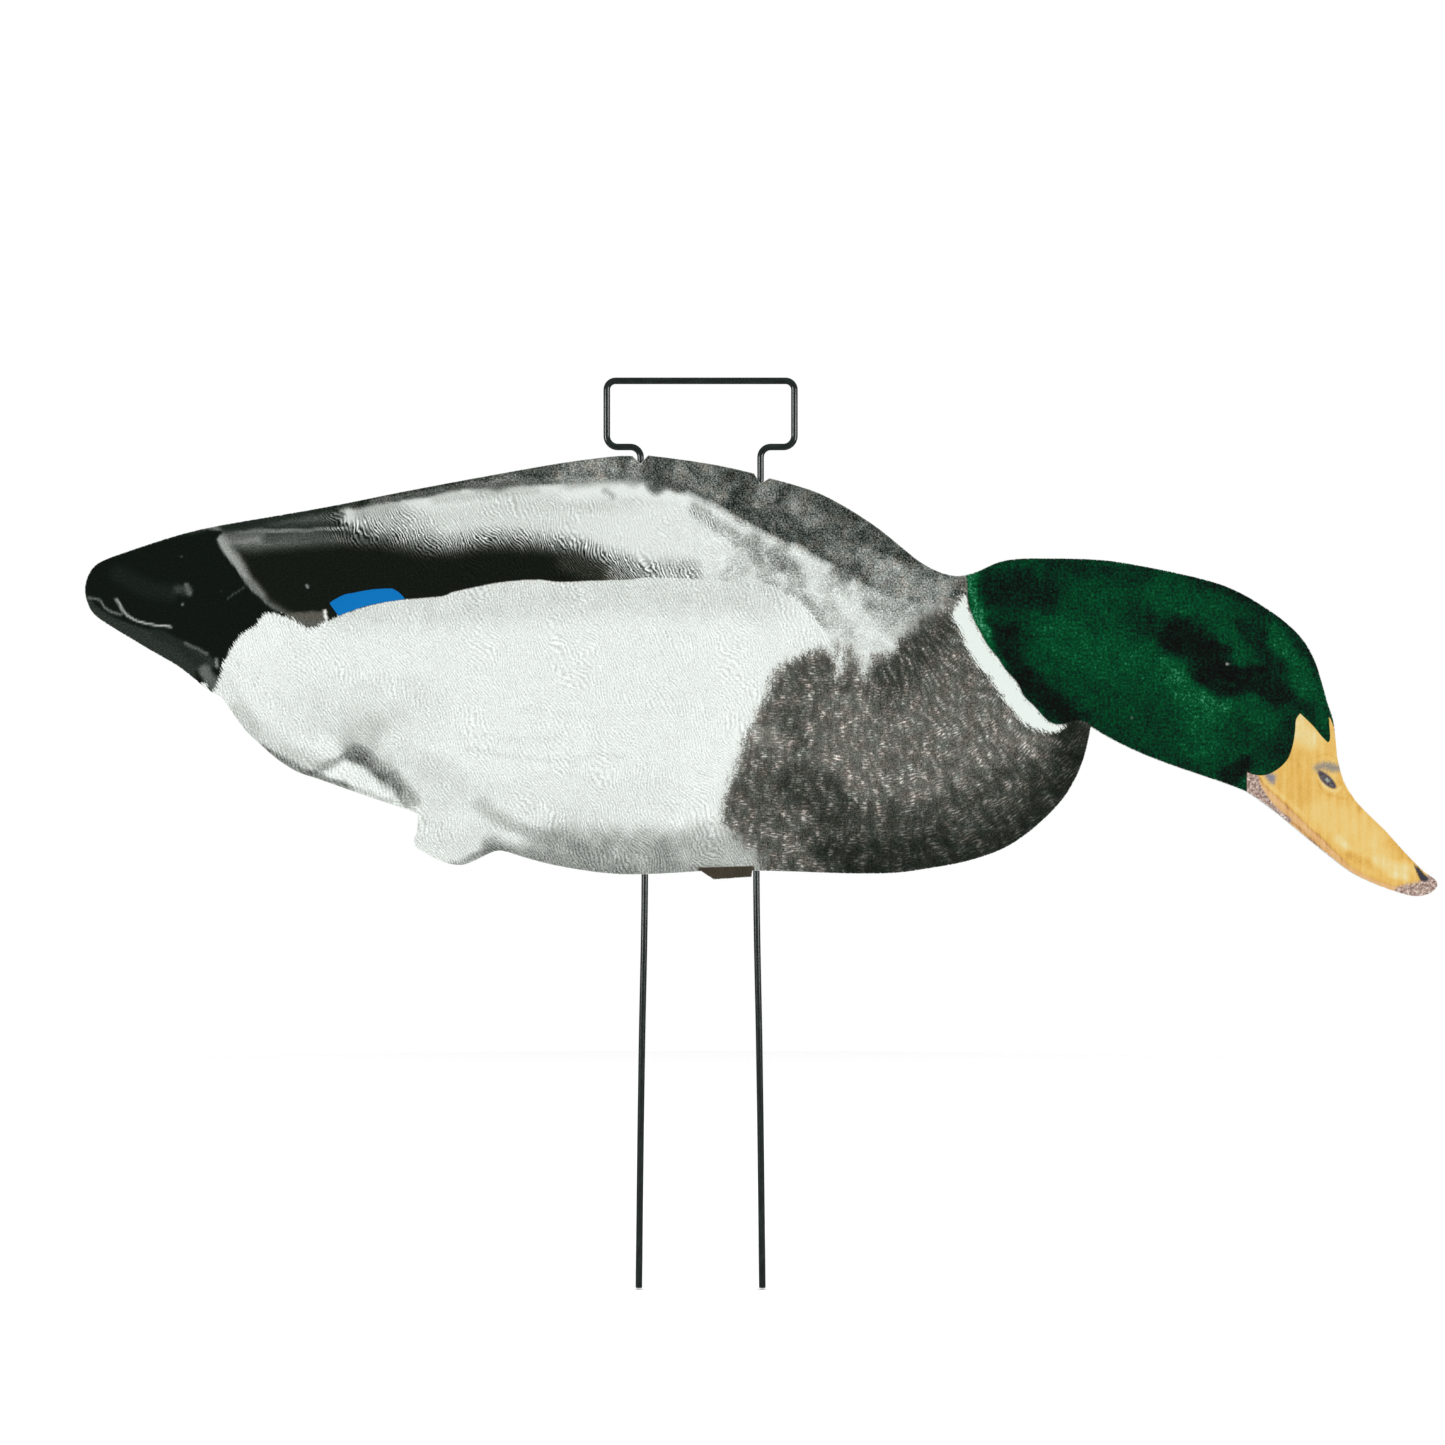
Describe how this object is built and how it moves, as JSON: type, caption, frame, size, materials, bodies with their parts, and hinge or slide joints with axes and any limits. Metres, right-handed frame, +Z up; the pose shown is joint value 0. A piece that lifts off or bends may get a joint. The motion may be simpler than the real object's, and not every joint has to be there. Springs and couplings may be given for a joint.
{
  "type": "duck silhouette decoy",
  "caption": "Flat silhouette decoy of a feeding drake duck, cut from printed twin-wall sheet, on a bent wire ground stake that slides in the flutes and ends in a handle.",
  "frame": {"origin": "midway between the two tips of the stake, where they enter the ground", "axes": "+X the way the bird faces, along its length; +Y through the sheet's thickness, away from the printed side that is seen with the bird facing right; +Z up, along the flutes and the stake's legs"},
  "size_m": [0.6106, 0.004, 0.4114],
  "materials": {
    "printed_sheet": "satin",
    "coated_wire": "gloss"
  },
  "bodies": {
    "silhouette": {"fluted_panel": "printed_sheet"},
    "stake": {"wire_stake": "coated_wire"}
  },
  "joints": [
    {"name": "stake_slide", "type": "slide", "parent": "silhouette", "child": "stake", "axis": [0, 0, 1], "range_m": [0, 0.38]}
  ]
}
